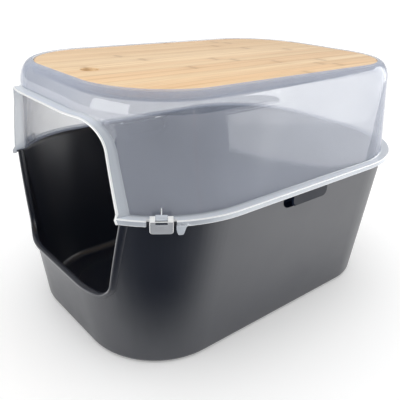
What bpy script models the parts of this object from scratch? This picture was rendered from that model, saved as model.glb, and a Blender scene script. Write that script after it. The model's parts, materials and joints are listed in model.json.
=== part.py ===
"""Cat litter box with hood: a tapered tub with an entry cut-out, a lift-off translucent hood
with an arched mouth, a bamboo board that lies in the hood's top, and two hinged corner clips.

Metres, +Z up. The box stands on z = 0 and the entry faces -Y. Every wall is a loft through
rounded-rectangle outlines, one outline for each height.
"""

from collections import namedtuple
from math import atan2, cos, pi, radians, sin, sqrt, tan

import bmesh
import bpy
from mathutils import Matrix, Vector

# A rounded rectangle in plan: half width, half length, corner radii and centre along Y.
Outline = namedtuple("Outline", "half_x half_y front_r rear_r centre_y")

CORNER_STEPS = 14
SMOOTH_UP_TO = radians(30)

# The entry cuts away the front of the rim, so the rim's own middle lies this far behind the
# middle of the whole box, which is the origin.
RIM_MIDDLE_Y = -0.0090

# Driving outlines, from the floor up.
TUB_BASE = Outline(0.1596, 0.2402, 0.103, 0.094, RIM_MIDDLE_Y)
TUB_TOP = Outline(0.1910, 0.2710, 0.148, 0.144, RIM_MIDDLE_Y)
RIM = Outline(0.2000, 0.2800, 0.157, 0.153, RIM_MIDDLE_Y)
HOOD_FOOT = Outline(0.1882, 0.2680, 0.145, 0.141, RIM_MIDDLE_Y)
HOOD_SHOULDER = Outline(0.1734, 0.2580, 0.123, 0.122, RIM_MIDDLE_Y + 0.006)
BOARD = Outline(0.1526, 0.2392, 0.101, 0.101, RIM_MIDDLE_Y + 0.007)

# Driving heights.
TUB_HEIGHT = 0.2150
SKIRT_BOTTOM = 0.2110
HOOD_SEAT = 0.2153
FLANGE_TOP = 0.2175
SHOULDER_HEIGHT = 0.318
HOOD_HEIGHT = 0.3465
BOARD_TOP = 0.3455

# Tub.
TUB_WALL = 0.0028
TUB_FLOOR = 0.0030
BASE_FILLET = 0.008
FLOOR_FILLET = 0.010
PANEL_INSET = 0.042
PANEL_STEP = 0.0015
LIP_INSET = 0.0034
LIP_THICKNESS = 0.0022
RIM_CHAMFER_DEPTH = 0.0055
RIM_CHAMFER_WIDTH = 0.0016
SILL_HEIGHT = 0.1012
SILL_HALF_WIDTH = 0.1055
ENTRY_TOP_HALF_WIDTH = 0.1337
ENTRY_CORNER = 0.025
BEAD_WIDTH = 0.0066
BEAD_PROUD = 0.0048
BEAD_END_X = 0.1405
GRIP_HALF_WIDTH = 0.034
GRIP_BOTTOM = 0.1945
GRIP_CORNER = 0.007
POCKET_HALF_WIDTH = 0.0428
POCKET_BOTTOM = 0.1892
POCKET_TOP = 0.2116
POCKET_CORNER = 0.014
POCKET_BACK_X = 0.1795
POCKET_DRAFT = 0.003

# Hood.
HOOD_WALL = 0.0023
SKIRT_THICKNESS = 0.0020
RIM_BEAD = 0.0006
SHOULDER_RUN = 0.0169
BOARD_GAP = 0.0010
LEDGE_WIDTH = 0.011
LEDGE_THICKNESS = 0.0024
BOARD_THICKNESS = 0.0090
MOUTH_FOOT_HALF_WIDTH = 0.1366
MOUTH_TOP_HALF_WIDTH = 0.1111
MOUTH_FOOT_HEIGHT = 0.2164
MOUTH_TOP = 0.3140
MOUTH_CORNER = 0.039
COLLAR_FOOT_DEPTH = 0.0130
COLLAR_TOP_DEPTH = 0.0094
COLLAR_THICKNESS = 0.0022
COLLAR_FOOT_GAP = 0.0100

# Board.
BOARD_EDGE = 0.0012
FINGER_HOLE_RADIUS = 0.011
FINGER_HOLE_Y = RIM_MIDDLE_Y - 0.195

# Clips, measured in a frame at the middle of each front corner of the rim: u along the rim
# towards the rear, v outwards from the corner's centre, z up.
CLIP_ANGLE = radians(35.1)
CORNER_RADIUS = RIM.front_r
PIVOT_V = 0.1543
PIVOT_Z = 0.2206
KNUCKLE_RADIUS = 0.0024
EAR_RADIUS = 0.0024
EAR_INNER_U = 0.0066
TONGUE_HALF_WIDTH = 0.0125
TONGUE_V = (0.1548, 0.1571)
TONGUE_Z = (0.2034, 0.2176)
TONGUE_CORNER = 0.003
WINDOW_HALF_WIDTH = 0.0063
WINDOW_Z = (0.2143, 0.2162)
STUB_RADIUS = 0.00125
STUB_BORE = 0.00150
STUB_END_U = 0.0040
NOTCH_HALF_WIDTH = 0.0160
NOTCH_V = 0.1512
CATCH_HALF_WIDTH = 0.009
CATCH_TOP = 0.2172
TOOTH_ANGLES = (radians(29.3), radians(25.0))
TOOTH_DROP = 0.0095

MATERIALS = {
    "charcoal_plastic": ((0.030, 0.032, 0.037, 1.0), 0.42),
    "milky_plastic": ((0.78, 0.79, 0.82, 0.55), 0.28),
    "bamboo": ((0.78, 0.58, 0.36, 1.0), 0.50),
}


def clear_scene():
    for obj in list(bpy.data.objects):
        bpy.data.objects.remove(obj, do_unlink=True)


def material(name):
    colour, roughness = MATERIALS[name]
    found = bpy.data.materials.get(name)
    if found:
        return found
    made = bpy.data.materials.new(name)
    made.use_nodes = True
    shader = made.node_tree.nodes["Principled BSDF"]
    shader.inputs["Base Color"].default_value = colour[:3] + (1.0,)
    shader.inputs["Alpha"].default_value = colour[3]
    shader.inputs["Roughness"].default_value = roughness
    shader.inputs["Metallic"].default_value = 0.0
    return made


def add_object(name, mesh_data, material_name=None, helper=False):
    """Puts a bmesh in the scene. A helper shapes other objects and isn't a part itself."""
    bmesh.ops.recalc_face_normals(mesh_data, faces=mesh_data.faces)
    mesh = bpy.data.meshes.new(name)
    mesh_data.to_mesh(mesh)
    mesh_data.free()
    mesh.shade_smooth()
    mesh.set_sharp_from_angle(angle=SMOOTH_UP_TO)
    obj = bpy.data.objects.new(name, mesh)
    bpy.context.scene.collection.objects.link(obj)
    if material_name:
        mesh.materials.append(material(material_name))
    if helper:
        obj.hide_render = True
        obj.display_type = "WIRE"
    return obj


def shape_with(target, helper, operation):
    modifier = target.modifiers.new(helper.name, "BOOLEAN")
    modifier.operation = operation
    modifier.solver = "EXACT"
    modifier.object = helper
    return target


# Outlines.


def grown(outline, distance):
    return Outline(
        outline.half_x + distance,
        outline.half_y + distance,
        outline.front_r + distance,
        outline.rear_r + distance,
        outline.centre_y,
    )


def blended(low, high, share):
    return Outline(*(a + (b - a) * share for a, b in zip(low, high)))


def tub_outline(z):
    return blended(TUB_BASE, TUB_TOP, z / TUB_HEIGHT)


def hood_outline(z):
    share = (z - FLANGE_TOP) / (SHOULDER_HEIGHT - FLANGE_TOP)
    return blended(HOOD_FOOT, HOOD_SHOULDER, share)


def ring_points(outline, z):
    """Points round the outline, anticlockwise from the front of the +X side."""
    corners = (
        (1, -1, outline.front_r, -pi / 2),
        (1, 1, outline.rear_r, 0.0),
        (-1, 1, outline.rear_r, pi / 2),
        (-1, -1, outline.front_r, pi),
    )
    points = []
    for side_x, side_y, radius, start in corners:
        centre_x = side_x * (outline.half_x - radius)
        centre_y = side_y * (outline.half_y - radius) + outline.centre_y
        for step in range(CORNER_STEPS + 1):
            angle = start + pi / 2 * step / CORNER_STEPS
            points.append((centre_x + radius * cos(angle), centre_y + radius * sin(angle), z))
    return points


def front_y(outline, x):
    """The Y of the outline's front edge at x."""
    past_corner = abs(x) - (outline.half_x - outline.front_r)
    straight = outline.half_y - outline.front_r
    reach = outline.front_r
    if past_corner > 0:
        reach = sqrt(max(outline.front_r**2 - past_corner**2, 0.0))
    return outline.centre_y - straight - reach


# Solids.


def loft(stations, closed_profile):
    """A solid through (outline, z) stations: a tube-like ring, or one capped at both ends."""
    shell = bmesh.new()
    rings = [[shell.verts.new(p) for p in ring_points(o, z)] for o, z in stations]
    pairs = list(zip(rings, rings[1:]))
    if closed_profile:
        pairs.append((rings[-1], rings[0]))
    for low, high in pairs:
        for i in range(len(low)):
            j = (i + 1) % len(low)
            shell.faces.new((low[i], low[j], high[j], high[i]))
    if not closed_profile:
        shell.faces.new(rings[0])
        shell.faces.new(rings[-1])
    return shell


def sweep(sections):
    """A capped solid through sections that all have the same number of points."""
    shell = bmesh.new()
    rings = [[shell.verts.new(p) for p in section] for section in sections]
    for low, high in zip(rings, rings[1:]):
        for i in range(len(low)):
            j = (i + 1) % len(low)
            shell.faces.new((low[i], low[j], high[j], high[i]))
    shell.faces.new(rings[0])
    shell.faces.new(rings[-1])
    return shell


def prism(outline, direction, low, high, place=None):
    """A flat outline pushed along a direction, from low to high. place maps its 2-D points."""
    push = Vector(direction)
    flat = [Vector(place(a, b)) for a, b in outline]
    return sweep([[p + push * low for p in flat], [p + push * high for p in flat]])


def box(low, high):
    made = bmesh.new()
    size = Vector(high) - Vector(low)
    centre = (Vector(high) + Vector(low)) / 2
    matrix = Matrix.Translation(centre) @ Matrix.Diagonal((*size, 1.0))
    bmesh.ops.create_cube(made, size=1.0, matrix=matrix)
    return made


def rounded_polygon(corners, steps=5):
    """Corners are (x, y, radius), in order. Each is replaced by an arc of that radius."""
    points = []
    for i, (x, y, radius) in enumerate(corners):
        here = Vector((x, y))
        before = (Vector(corners[i - 1][:2]) - here).normalized()
        after = (Vector(corners[(i + 1) % len(corners)][:2]) - here).normalized()
        if radius == 0:
            points.append((x, y))
            continue
        half_angle = before.angle(after) / 2
        centre = here + (before + after).normalized() * radius / sin(half_angle)
        start = here + before * radius / tan(half_angle) - centre
        end = here + after * radius / tan(half_angle) - centre
        turn = (atan2(end.y, end.x) - atan2(start.y, start.x) + pi) % (2 * pi) - pi
        first = atan2(start.y, start.x)
        for step in range(steps + 1):
            angle = first + turn * step / steps
            points.append((centre.x + radius * cos(angle), centre.y + radius * sin(angle)))
    return points


def arch_path(foot, corner, radius, straight_steps=8, corner_steps=8):
    """(x, z, normal x, normal z) along half of an arch from its foot to the middle, the
    normal pointing out of the opening. The other half is added as its mirror image."""
    foot, corner = Vector(foot), Vector(corner)
    side = (corner - foot).normalized()
    across = Vector((-1.0, 0.0))
    turn = 1.0 if corner.y > foot.y else -1.0
    half_angle = (-side).angle(across) / 2
    tangent = radius / tan(half_angle)
    centre = corner + (across - side).normalized() * radius / sin(half_angle)
    leave, arrive = corner - side * tangent, corner + across * tangent
    side_normal = Vector((side.y, -side.x)) * turn
    path = []
    for step in range(straight_steps):
        path.append((foot.lerp(leave, step / straight_steps), side_normal))
    start = atan2(*(leave - centre).yx)
    end = atan2(*(arrive - centre).yx)
    for step in range(corner_steps + 1):
        angle = start + (end - start) * step / corner_steps
        normal = Vector((cos(angle), sin(angle)))
        path.append((centre + normal * radius, normal))
    flat_normal = Vector((0.0, turn))
    for step in range(1, straight_steps + 1):
        middle = Vector((0.0, corner.y))
        path.append((arrive.lerp(middle, step / straight_steps), flat_normal))
    half = [(p.x, p.y, n.x, n.y) for p, n in path]
    return half + [(-x, z, -nx, nz) for x, z, nx, nz in reversed(half[:-1])]


def opening_cutter(path, growth, far_z):
    """A prism along Y that cuts the opening out of a front wall."""
    outline = [(x + nx * growth, z + nz * growth) for x, z, nx, nz in path]
    outline = [(outline[0][0], far_z), *outline, (outline[-1][0], far_z)]
    return prism(outline, (0, 1, 0), -0.40, -0.12, place=lambda a, b: (a, 0.0, b))


# Tub.


def entry_path(top):
    """The entry cut-out's clear edge, from `top` down to the sill and up again."""
    rise = (top - SILL_HEIGHT) / (SKIRT_BOTTOM - SILL_HEIGHT)
    top_half = SILL_HALF_WIDTH + (ENTRY_TOP_HALF_WIDTH - SILL_HALF_WIDTH) * rise
    return arch_path((top_half, top), (SILL_HALF_WIDTH, SILL_HEIGHT), ENTRY_CORNER)


def tub_shell():
    """The tub without its flange: outside from the middle of the base up, inside back down."""
    stations = [
        (grown(TUB_BASE, -PANEL_INSET - PANEL_STEP), PANEL_STEP),
        (grown(TUB_BASE, -PANEL_INSET), 0.0),
    ]
    for step in range(6):
        angle = radians(90) * step / 5
        z = BASE_FILLET * (1 - cos(angle))
        inset = BASE_FILLET * (1 - sin(angle))
        stations.append((grown(tub_outline(z), -inset), z))
    chamfer_z = TUB_HEIGHT - RIM_CHAMFER_DEPTH
    stations += [
        (TUB_TOP, TUB_HEIGHT),
        (grown(TUB_TOP, RIM_CHAMFER_WIDTH - TUB_WALL), TUB_HEIGHT),
        (grown(tub_outline(chamfer_z), -TUB_WALL), chamfer_z),
    ]
    inner_fillet = FLOOR_FILLET
    for step in range(6):
        angle = radians(90) * (5 - step) / 5
        z = TUB_FLOOR + inner_fillet * (1 - cos(angle))
        inset = TUB_WALL + inner_fillet * (1 - sin(angle))
        stations.append((grown(tub_outline(z), -inset), z))
    stations += [
        (grown(TUB_BASE, -PANEL_INSET), TUB_FLOOR),
        (grown(TUB_BASE, -PANEL_INSET - PANEL_STEP), TUB_FLOOR + PANEL_STEP),
    ]
    return loft(stations, closed_profile=False)


def tub_flange():
    """The flange and its turned-down lip, sunk a little into the wall."""
    root = grown(TUB_TOP, -0.001)
    outer = grown(RIM, -LIP_INSET)
    inner = grown(outer, -LIP_THICKNESS)
    underside = TUB_HEIGHT - 0.0022
    lip_bottom = SKIRT_BOTTOM + 0.0004
    stations = [
        (root, underside),
        (inner, underside),
        (inner, lip_bottom),
        (outer, lip_bottom),
        (outer, TUB_HEIGHT - 0.0006),
        (grown(outer, -0.0006), TUB_HEIGHT - 0.0001),
        (root, TUB_HEIGHT - 0.0001),
    ]
    return loft(stations, closed_profile=True)


def entry_bead():
    """The thick rounded rim round the entry cut-out."""
    sections = []
    for x, z, nx, nz in entry_path(TUB_HEIGHT):
        section = []
        for step in range(10):
            angle = 2 * pi * step / 10
            across = BEAD_WIDTH / 2 * (1 + cos(angle))
            px, pz = x + nx * across, min(z + nz * across, TUB_HEIGHT)
            wall = front_y(tub_outline(pz), px)
            depth = (BEAD_PROUD + TUB_WALL + 0.001) / 2
            section.append((px, wall - BEAD_PROUD + depth * (1 + sin(angle)), pz))
        sections.append(section)
    return sweep(sections)


def grip_flap(side):
    """The part of the lip that hangs lower, for the fingers, on one long side."""
    rear, front = RIM_MIDDLE_Y + GRIP_HALF_WIDTH, RIM_MIDDLE_Y - GRIP_HALF_WIDTH
    top = TUB_HEIGHT - 0.0008
    corners = [
        (front, GRIP_BOTTOM, GRIP_CORNER),
        (rear, GRIP_BOTTOM, GRIP_CORNER),
        (rear, top, 0),
        (front, top, 0),
    ]
    outer = RIM.half_x - LIP_INSET
    return prism(
        rounded_polygon(corners),
        (side, 0, 0),
        outer - LIP_THICKNESS,
        outer,
        place=lambda a, b: (0.0, a, b),
    )


def pocket_outline(growth):
    """The grip pocket's (y, z) outline, grown all round."""
    half_width = POCKET_HALF_WIDTH + growth
    bottom, top = POCKET_BOTTOM - growth, POCKET_TOP + growth
    corners = [
        (RIM_MIDDLE_Y - half_width, bottom, POCKET_CORNER + growth),
        (RIM_MIDDLE_Y + half_width, bottom, POCKET_CORNER + growth),
        (RIM_MIDDLE_Y + half_width, top, 0),
        (RIM_MIDDLE_Y - half_width, top, 0),
    ]
    return rounded_polygon(corners)


def grip_pocket(side):
    """The hollow behind a grip flap, from its narrower back out past the tub's wall."""
    mouth_x = POCKET_BACK_X + 0.009
    reach = RIM.half_x - LIP_INSET - LIP_THICKNESS - 0.001
    depths = ((POCKET_BACK_X, -POCKET_DRAFT), (mouth_x, 0.0), (reach, 0.0))
    return sweep([[(side * x, y, z) for y, z in pocket_outline(growth)] for x, growth in depths])


def pocket_back(side):
    """The bulge on the inside of the wall that closes a grip pocket."""
    back_x = POCKET_BACK_X - TUB_WALL
    back = [(side * back_x, y, z) for y, z in pocket_outline(TUB_WALL - POCKET_DRAFT)]
    root = []
    for y, z in pocket_outline(TUB_WALL):
        root.append((side * (tub_outline(z).half_x - 0.3 * TUB_WALL), y, z))
    return sweep([back, root])


def build_tub():
    tub = add_object("tub", tub_shell(), "charcoal_plastic")
    flange = add_object("tub_flange", tub_flange(), helper=True)
    bead = add_object("tub_entry_bead", entry_bead(), helper=True)
    entry = opening_cutter(entry_path(TUB_HEIGHT + 0.03), 0.002, TUB_HEIGHT + 0.03)
    entry_tool = add_object("tub_entry_cutter", entry, helper=True)
    gap = box((-BEAD_END_X, -0.35, 0.19), (BEAD_END_X, -0.15, 0.24))
    shape_with(flange, add_object("tub_flange_gap", gap, helper=True), "DIFFERENCE")
    shape_with(tub, entry_tool, "DIFFERENCE")
    for side, name in ((1, "right"), (-1, "left")):
        back = add_object(f"pocket_back_{name}", pocket_back(side), helper=True)
        shape_with(tub, back, "UNION")
        hollow = add_object(f"pocket_hollow_{name}", grip_pocket(side), helper=True)
        shape_with(tub, hollow, "DIFFERENCE")
    shape_with(tub, flange, "UNION")
    shape_with(tub, bead, "UNION")
    for side, name in ((1, "right"), (-1, "left")):
        shape_with(tub, add_object(f"grip_flap_{name}", grip_flap(side), helper=True), "UNION")
        shape_with(tub, add_object(f"catch_{name}", catch_block(side), helper=True), "UNION")
    return tub


# Hood.


def mouth_path(foot_z):
    """The mouth's clear edge, from `foot_z` up over the top and down again."""
    drop = (foot_z - MOUTH_FOOT_HEIGHT) / (MOUTH_TOP - MOUTH_FOOT_HEIGHT)
    foot_half = MOUTH_FOOT_HALF_WIDTH + (MOUTH_TOP_HALF_WIDTH - MOUTH_FOOT_HALF_WIDTH) * drop
    return arch_path((foot_half, foot_z), (MOUTH_TOP_HALF_WIDTH, MOUTH_TOP), MOUTH_CORNER)


def shoulder_arc(thickness):
    """Stations over the rounded shoulder, from the wall to the crest."""
    stations = []
    run, rise = SHOULDER_RUN, HOOD_HEIGHT - SHOULDER_HEIGHT
    for step in range(7):
        angle = radians(90) * step / 6
        inset = run - (run - thickness) * cos(angle)
        z = SHOULDER_HEIGHT + (rise - thickness) * sin(angle)
        stations.append((grown(HOOD_SHOULDER, -inset), z))
    return stations


def hood_shell():
    """Skirt, flange, wall, shoulder and the seat for the board, as one closed profile."""
    skirt_outer = grown(RIM, -RIM_BEAD)
    skirt_inner = grown(RIM, -RIM_BEAD - SKIRT_THICKNESS)
    ledge_top = BOARD_TOP - BOARD_THICKNESS - 0.0003
    recess = grown(BOARD, BOARD_GAP)
    recess_back = grown(recess, HOOD_WALL)
    ledge_edge = grown(recess, -LEDGE_WIDTH)
    stations = [
        (skirt_inner, SKIRT_BOTTOM),
        (grown(skirt_outer, -0.0004), SKIRT_BOTTOM),
        (skirt_outer, SKIRT_BOTTOM + 0.0004),
        (skirt_outer, FLANGE_TOP - 0.0012),
        (RIM, FLANGE_TOP - 0.0004),
        (RIM, FLANGE_TOP + 0.0006),
        (grown(RIM, -0.0008), FLANGE_TOP + 0.0010),
        (grown(RIM, -0.0020), FLANGE_TOP),
        (grown(HOOD_FOOT, 0.0010), FLANGE_TOP),
        (hood_outline(FLANGE_TOP + 0.0012), FLANGE_TOP + 0.0012),
    ]
    stations += shoulder_arc(0.0)
    stations += [
        (grown(recess, 0.0006), HOOD_HEIGHT - 0.0004),
        (recess, HOOD_HEIGHT - 0.0012),
        (recess, ledge_top),
        (ledge_edge, ledge_top),
        (ledge_edge, ledge_top - LEDGE_THICKNESS),
        (recess_back, ledge_top - LEDGE_THICKNESS),
    ]
    inner_arc = [s for s in shoulder_arc(HOOD_WALL) if s[0].half_x > recess_back.half_x + 0.001]
    stations.append((recess_back, inner_arc[-1][1] + 0.0004))
    stations += reversed(inner_arc)
    stations += [
        (grown(HOOD_FOOT, -HOOD_WALL), HOOD_SEAT),
        (skirt_inner, HOOD_SEAT),
    ]
    return loft(stations, closed_profile=True)


def collar():
    """The mouth's collar. It stands out from the front wall, and below the flange only its
    outer part goes on down, clear of the tub's bead."""
    path = mouth_path(SKIRT_BOTTOM)
    step_z = HOOD_SEAT + 0.0003
    low, high = mouth_path(step_z - 0.0002)[0], mouth_path(step_z)[0]
    path = [path[0], low, high, *path[1:-1], mirrored(high), mirrored(low), path[-1]]
    sections = []
    for x, z, nx, nz in path:
        section = []
        inner_gap = -HOOD_WALL if z >= step_z else COLLAR_FOOT_GAP
        rise = (z - SKIRT_BOTTOM) / (MOUTH_TOP - SKIRT_BOTTOM)
        depth = COLLAR_FOOT_DEPTH + (COLLAR_TOP_DEPTH - COLLAR_FOOT_DEPTH) * rise
        for across, out in ((0, inner_gap), (0, depth), (1, depth), (1, inner_gap)):
            px, pz = x + nx * across * COLLAR_THICKNESS, z + nz * across * COLLAR_THICKNESS
            y = front_y(hood_outline(pz), px) - out
            if pz < FLANGE_TOP and out == depth:
                y = min(y, front_y(RIM, px) - 0.0003)
            section.append((px, y, pz))
        sections.append(section)
    return sweep(sections)


def mirrored(station):
    x, z, nx, nz = station
    return (-x, z, -nx, nz)


def build_hood():
    hood = add_object("hood", hood_shell(), "milky_plastic")
    mouth = opening_cutter(mouth_path(0.19), COLLAR_THICKNESS / 2, 0.19)
    shape_with(hood, add_object("hood_mouth_cutter", mouth, helper=True), "DIFFERENCE")
    shape_with(hood, add_object("hood_collar", collar(), helper=True), "UNION")
    for side, name in ((1, "right"), (-1, "left")):
        for piece, build, operation in (
            ("notch", clip_notch, "DIFFERENCE"),
            ("tooth", guard_tooth, "UNION"),
            ("knuckle", hood_knuckle, "UNION"),
            ("bores", stub_bores, "DIFFERENCE"),
        ):
            helper = add_object(f"hood_{piece}_{name}", build(side), helper=True)
            shape_with(hood, helper, operation)
    return hood


# Clips and what they work against, all in the corner frame (u, v, z).


def corner_point(side, u, v, z):
    """A point of the corner frame in world coordinates. side is 1 at +X and -1 at -X."""
    centre = Vector((RIM.half_x - RIM.front_r, RIM.centre_y + RIM.front_r - RIM.half_y, 0.0))
    out = Vector((cos(CLIP_ANGLE), -sin(CLIP_ANGLE), 0.0))
    along = Vector((sin(CLIP_ANGLE), cos(CLIP_ANGLE), 0.0))
    point = centre + out * v + along * u
    return Vector((side * point.x, point.y, z))


def corner_prism(side, profile, u_low, u_high):
    """A (v, z) profile pushed along u."""
    return sweep([[corner_point(side, u, v, z) for v, z in profile] for u in (u_low, u_high)])


def corner_plate(side, outline, v_low, v_high):
    """A (u, z) outline pushed along v."""
    return sweep([[corner_point(side, u, v, z) for u, z in outline] for v in (v_low, v_high)])


def rectangle(low, high):
    return [(low[0], low[1]), (high[0], low[1]), (high[0], high[1]), (low[0], high[1])]


def circle(centre, radius, steps=24):
    turns = [2 * pi * step / steps for step in range(steps)]
    return [(centre[0] + radius * cos(t), centre[1] + radius * sin(t)) for t in turns]


def catch_block(side):
    """The block on the tub's lip that shows through the clip's window."""
    outline = rectangle((-CATCH_HALF_WIDTH, 0.2122), (CATCH_HALF_WIDTH, CATCH_TOP))
    return corner_plate(side, outline, NOTCH_V + 0.0006, TONGUE_V[0] - 0.0003)


def clip_notch(side):
    """What is cut from the hood's flange and skirt to make room for a clip."""
    outline = rectangle((-NOTCH_HALF_WIDTH, 0.205), (NOTCH_HALF_WIDTH, 0.2215))
    return corner_plate(side, outline, NOTCH_V, CORNER_RADIUS + 0.004)


def guard_tooth(side):
    """A rounded tab of the skirt beside the clip, on its rear side, following the corner."""
    start, end = TOOTH_ANGLES
    top = SKIRT_BOTTOM + 0.0010
    sections = []
    steps = 14
    for step in range(steps + 1):
        share = step / steps
        near_edge = min(1.0, share / 0.22)
        far_edge = min(1.0, (1.0 - share) / 0.42)
        shape = sin(near_edge * pi / 2) * sin(far_edge * pi / 2) ** 2.2
        if share < 0.3:
            shape = 0.45 + 0.55 * shape
        bottom = SKIRT_BOTTOM - 0.0002 - TOOTH_DROP * shape
        angle = CLIP_ANGLE - (start + (end - start) * share)
        section = []
        for radius, z in ((0.0026, top), (0.0006, top), (0.0006, bottom), (0.0026, bottom)):
            reach = CORNER_RADIUS - radius
            section.append(corner_point(side, reach * sin(angle), reach * cos(angle), z))
        sections.append(section)
    return sweep(sections)


def hood_knuckle(side):
    """The lug on the flange that carries the clip, between the clip's two ears."""
    arc = [a for a in circle((PIVOT_V, PIVOT_Z), KNUCKLE_RADIUS) if a[0] > PIVOT_V - 0.0012]
    arc.sort(key=lambda p: atan2(p[1] - PIVOT_Z, p[0] - PIVOT_V))
    root = [(PIVOT_V - 0.0034, PIVOT_Z + 0.0024), (0.1468, FLANGE_TOP + 0.0006)]
    root += [(0.1468, FLANGE_TOP - 0.0008), (NOTCH_V - 0.0003, FLANGE_TOP - 0.0008)]
    root += [(NOTCH_V - 0.0003, FLANGE_TOP + 0.0010)]
    width = EAR_INNER_U - 0.0003
    return corner_prism(side, arc + root, -width, width)


def stub_bores(side):
    """The two blind bores in the knuckle that take the clip's stubs."""
    bores = bmesh.new()
    for end in (-1, 1):
        profile = circle((PIVOT_V, PIVOT_Z), STUB_BORE)
        low, high = sorted((end * (STUB_END_U - 0.0003), end * (EAR_INNER_U + 0.001)))
        add_mesh(bores, corner_prism(side, profile, low, high))
    return bores


def add_mesh(target, source):
    """Copies one bmesh into another, as a separate shell."""
    mesh = bpy.data.meshes.new("copied")
    bmesh.ops.recalc_face_normals(source, faces=source.faces)
    source.to_mesh(mesh)
    source.free()
    target.from_mesh(mesh)
    bpy.data.meshes.remove(mesh)


def tongue(side):
    low, high = TONGUE_Z
    corners = [
        (-TONGUE_HALF_WIDTH, low, TONGUE_CORNER),
        (TONGUE_HALF_WIDTH, low, TONGUE_CORNER),
        (TONGUE_HALF_WIDTH, high, 0),
        (-TONGUE_HALF_WIDTH, high, 0),
    ]
    return corner_plate(side, rounded_polygon(corners), *TONGUE_V)


def ear(side, end):
    """One ear of the clip: a round eye at the pivot, run down into the tongue."""
    eye = circle((PIVOT_V, PIVOT_Z), EAR_RADIUS)
    upper = [p for p in eye if p[1] >= PIVOT_Z - 0.0001 or p[0] <= PIVOT_V + 0.0006]
    upper.sort(key=lambda p: atan2(p[1] - PIVOT_Z, p[0] - PIVOT_V) % (2 * pi))
    foot_z = TONGUE_Z[1] - 0.0015
    foot = [(TONGUE_V[0] + 0.0003, foot_z), (TONGUE_V[1] - 0.0002, foot_z)]
    low, high = sorted((end * EAR_INNER_U, end * (TONGUE_HALF_WIDTH - 0.0002)))
    return corner_prism(side, upper + foot, low, high)


def build_clip(side, name):
    """The clip hangs from its pivot; its origin is on the hinge axis."""
    clip = add_object(name, tongue(side), "milky_plastic")
    half, (low_z, high_z) = WINDOW_HALF_WIDTH, WINDOW_Z
    window = rectangle((-half, low_z), (half, high_z))
    boss = rectangle((-half, low_z - 0.0030), (half, low_z - 0.0004))
    window_mesh = corner_plate(side, window, TONGUE_V[0] - 0.002, TONGUE_V[1] + 0.002)
    boss_mesh = corner_plate(side, boss, TONGUE_V[1] - 0.0006, TONGUE_V[1] + 0.0007)
    shape_with(clip, add_object(f"{name}_window", window_mesh, helper=True), "DIFFERENCE")
    shape_with(clip, add_object(f"{name}_boss", boss_mesh, helper=True), "UNION")
    for end, tag in ((1, "rear"), (-1, "front")):
        shape_with(clip, add_object(f"{name}_ear_{tag}", ear(side, end), helper=True), "UNION")
        profile = circle((PIVOT_V, PIVOT_Z), STUB_RADIUS)
        low, high = sorted((end * STUB_END_U, end * (EAR_INNER_U + 0.002)))
        stub = corner_prism(side, profile, low, high)
        shape_with(clip, add_object(f"{name}_stub_{tag}", stub, helper=True), "UNION")
    pivot = corner_point(side, 0.0, PIVOT_V, PIVOT_Z)
    clip.data.transform(Matrix.Translation(-pivot))
    clip.location = pivot
    return clip


# Board.


def build_board():
    low = BOARD_TOP - BOARD_THICKNESS
    stations = [
        (grown(BOARD, -BOARD_EDGE), low),
        (BOARD, low + BOARD_EDGE),
        (BOARD, BOARD_TOP - BOARD_EDGE),
        (grown(BOARD, -0.3 * BOARD_EDGE), BOARD_TOP - 0.3 * BOARD_EDGE),
        (grown(BOARD, -BOARD_EDGE), BOARD_TOP),
    ]
    board = add_object("bamboo_board", loft(stations, closed_profile=False), "bamboo")
    hole = circle((0.0, FINGER_HOLE_Y), FINGER_HOLE_RADIUS, steps=40)
    drill = prism(hole, (0, 0, 1), low - 0.01, BOARD_TOP + 0.01, place=lambda a, b: (a, b, 0.0))
    shape_with(board, add_object("finger_hole_drill", drill, helper=True), "DIFFERENCE")
    return board


clear_scene()
build_tub()
build_hood()
build_board()
build_clip(1, "clip_right")
build_clip(-1, "clip_left")
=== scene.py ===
"""Cat litter box with hood: the looks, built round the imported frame.

Each CAD solid is stood for by a finer one of the same size: closer curves, rounded edges and a
procedural material. Metres, +Z up, the entry at -Y. Every wall is a loft through
rounded-rectangle outlines, one outline for each height.
"""

import json
from collections import namedtuple
from math import atan2, cos, pi, radians, sin, sqrt, tan

import bmesh
import bpy
from mathutils import Matrix, Vector


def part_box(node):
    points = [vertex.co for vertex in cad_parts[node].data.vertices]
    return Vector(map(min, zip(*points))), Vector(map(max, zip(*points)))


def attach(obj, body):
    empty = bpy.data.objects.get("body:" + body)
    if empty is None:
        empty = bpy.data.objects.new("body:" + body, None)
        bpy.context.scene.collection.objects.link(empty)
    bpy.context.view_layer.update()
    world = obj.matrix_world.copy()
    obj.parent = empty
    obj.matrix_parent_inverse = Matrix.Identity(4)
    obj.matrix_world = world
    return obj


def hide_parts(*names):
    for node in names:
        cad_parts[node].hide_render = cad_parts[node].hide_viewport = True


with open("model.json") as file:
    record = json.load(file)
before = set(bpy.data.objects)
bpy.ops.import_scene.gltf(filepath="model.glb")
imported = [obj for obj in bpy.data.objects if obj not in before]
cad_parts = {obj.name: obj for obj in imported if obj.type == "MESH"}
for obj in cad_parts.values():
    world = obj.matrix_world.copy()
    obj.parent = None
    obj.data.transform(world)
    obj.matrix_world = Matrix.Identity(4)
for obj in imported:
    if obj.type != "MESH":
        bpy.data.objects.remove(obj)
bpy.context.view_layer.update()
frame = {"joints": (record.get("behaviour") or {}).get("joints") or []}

HOOD_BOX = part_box("hood")
BOARD_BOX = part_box("bamboo_board")

# A rounded rectangle in plan: half width, half length, corner radii and centre along Y.
Outline = namedtuple("Outline", "half_x half_y front_r rear_r centre_y")

CORNER_STEPS = 32
STRAIGHT_STEPS = 3
SMOOTH_UP_TO = radians(32)
CHARCOAL_IOR = 1.60
MILKY_IOR = 2.5

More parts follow.
